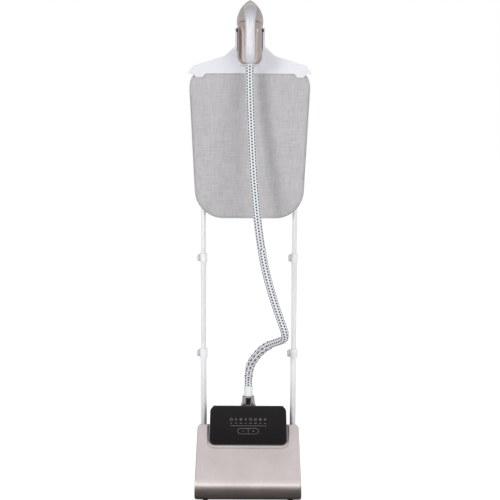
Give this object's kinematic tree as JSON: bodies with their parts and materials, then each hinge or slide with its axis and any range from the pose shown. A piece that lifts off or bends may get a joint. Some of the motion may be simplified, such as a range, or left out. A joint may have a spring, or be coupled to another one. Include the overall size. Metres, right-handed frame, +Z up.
{
  "type": "garment steamer",
  "caption": "Upright garment steamer: wedge base with touch panel, telescopic twin poles with clip levers, padded board, hanger with iron cradle, steam iron and hose.",
  "frame": {"origin": "on the floor, under the middle of the object's box without its hose", "axes": "+X to the right seen from the front, +Y to the back, +Z up; the panel faces -Y"},
  "size_m": [0.3988, 0.3, 1.6074],
  "materials": {
    "rose_shell": "satin",
    "champagne": "satin",
    "white_plastic": "semi-gloss",
    "lavender_plastic": "satin",
    "grey_plastic": "matte",
    "black_plastic": "matte",
    "black_glass": "gloss",
    "tank_plastic": "clear smoke",
    "pole_metal": "satin",
    "chrome": "mirror",
    "steel": "plain",
    "soleplate_metal": "polished",
    "rubber": "matte",
    "pipe_rubber": "matte",
    "circuit_board": "matte",
    "hose_sleeve": "woven",
    "linen": "woven"
  },
  "bodies": {
    "base": {"base_shell": "rose_shell", "base_pan": "black_plastic", "base_screws": "steel", "rubber_feet": "rubber", "wheel_axles": "steel", "panel_bezel": "champagne", "panel_glass": "black_glass", "head_housing": "rose_shell", "control_board": "circuit_board", "outlet_flange": "white_plastic", "outlet_bell": "chrome", "hose_cuff": "white_plastic", "boiler": "steel", "heating_element": "steel", "thermostat": "steel", "pump": "grey_plastic", "water_pipe": "pipe_rubber", "feed_pipe": "pipe_rubber", "steam_pipe": "pipe_rubber", "cord_gland": "grey_plastic", "pole_sockets": "grey_plastic", "lower_poles": "pole_metal", "lower_collars": "white_plastic", "lower_collar_pins": "steel", "hose_lower": "hose_sleeve", "tank_seat": "grey_plastic", "tank_seal": "rubber"},
    "wheel_left": {"wheel_left": "black_plastic"},
    "wheel_right": {"wheel_right": "black_plastic"},
    "lower_clip_left": {"lower_lever_left": "lavender_plastic"},
    "lower_clip_right": {"lower_lever_right": "lavender_plastic"},
    "middle_left": {"middle_pole_left": "pole_metal", "upper_collar_left": "white_plastic", "upper_collar_pin_left": "steel", "hose_middle": "hose_sleeve"},
    "middle_right": {"middle_pole_right": "pole_metal", "upper_collar_right": "white_plastic", "upper_collar_pin_right": "steel"},
    "upper_clip_left": {"upper_lever_left": "lavender_plastic"},
    "upper_clip_right": {"upper_lever_right": "lavender_plastic"},
    "upper": {"upper_poles": "pole_metal", "hanger": "white_plastic", "cradle": "white_plastic", "cradle_pads": "rubber", "cradle_screws": "steel", "board_cover": "linen", "board_core": "grey_plastic", "board_clips": "grey_plastic", "hose_top": "hose_sleeve"},
    "iron": {"iron_soleplate": "soleplate_metal", "iron_skirt": "champagne", "iron_shell": "rose_shell", "iron_handle": "white_plastic", "iron_tail": "grey_plastic", "trigger_pin": "steel"},
    "trigger": {"steam_trigger": "grey_plastic"},
    "tank": {"tank_body": "tank_plastic", "valve_spring": "steel"},
    "tank_cap": {"tank_cap": "grey_plastic"},
    "tank_valve": {"tank_valve": "grey_plastic"}
  },
  "joints": [
    {"name": "mast_lower", "type": "slide", "parent": "base", "child": "middle_left", "axis": [0, 0, 1], "range_m": [-0.22, 0], "deforming": ["hose_lower"]},
    {"name": "mast_lower_right", "type": "slide", "parent": "base", "child": "middle_right", "axis": [0, 0, 1], "range_m": [-0.22, 0]},
    {"name": "mast_upper", "type": "slide", "parent": "middle_left", "child": "upper", "axis": [0, 0, 1], "range_m": [-0.22, 0], "deforming": ["hose_middle"]},
    {"name": "lower_left_clip", "type": "hinge", "parent": "base", "child": "lower_clip_left", "pos_m": [-0.1682, 0.04, 0.4483], "axis": [0, -1, 0], "range_deg": [0, 95]},
    {"name": "lower_right_clip", "type": "hinge", "parent": "base", "child": "lower_clip_right", "pos_m": [0.1318, 0.04, 0.4483], "axis": [0, -1, 0], "range_deg": [0, 95]},
    {"name": "upper_left_clip", "type": "hinge", "parent": "middle_left", "child": "upper_clip_left", "pos_m": [-0.1667, 0.04, 0.7683], "axis": [0, -1, 0], "range_deg": [0, 95]},
    {"name": "upper_right_clip", "type": "hinge", "parent": "middle_right", "child": "upper_clip_right", "pos_m": [0.1333, 0.04, 0.7683], "axis": [0, -1, 0], "range_deg": [0, 95]},
    {"name": "iron_off_cradle", "type": "slide", "parent": "upper", "child": "iron", "axis": [0, -1, 0], "range_m": [0, 0.09], "deforming": ["hose_top"]},
    {"name": "steam_trigger", "type": "hinge", "parent": "iron", "child": "trigger", "pos_m": [0, -0.0995, 1.524], "axis": [-1, 0, 0], "range_deg": [0, 8], "stiffness_Nm_per_rad": 0.3, "springref_deg": -8.59},
    {"name": "tank_lift", "type": "slide", "parent": "base", "child": "tank", "axis": [0, 0, 1], "range_m": [0, 0.16]},
    {"name": "cap_hinge", "type": "hinge", "parent": "tank", "child": "tank_cap", "pos_m": [0, 0.144, 0.2475], "axis": [-1, 0, 0], "range_deg": [0, 110]},
    {"name": "valve_lift", "type": "slide", "parent": "tank", "child": "tank_valve", "axis": [0, 0, 1], "range_m": [0, 0.003], "stiffness_N_per_m": 200, "springref_m": -0.004, "deforming": ["valve_spring"]},
    {"name": "left_wheel_spin", "type": "hinge", "parent": "base", "child": "wheel_left", "pos_m": [-0.12, 0.127, 0.024], "axis": [1, 0, 0], "continuous": true},
    {"name": "right_wheel_spin", "type": "hinge", "parent": "base", "child": "wheel_right", "pos_m": [0.12, 0.127, 0.024], "axis": [1, 0, 0], "continuous": true}
  ],
  "couplings": [
    {"joint": "mast_lower_right", "follows": "mast_lower", "ratio": 1}
  ]
}
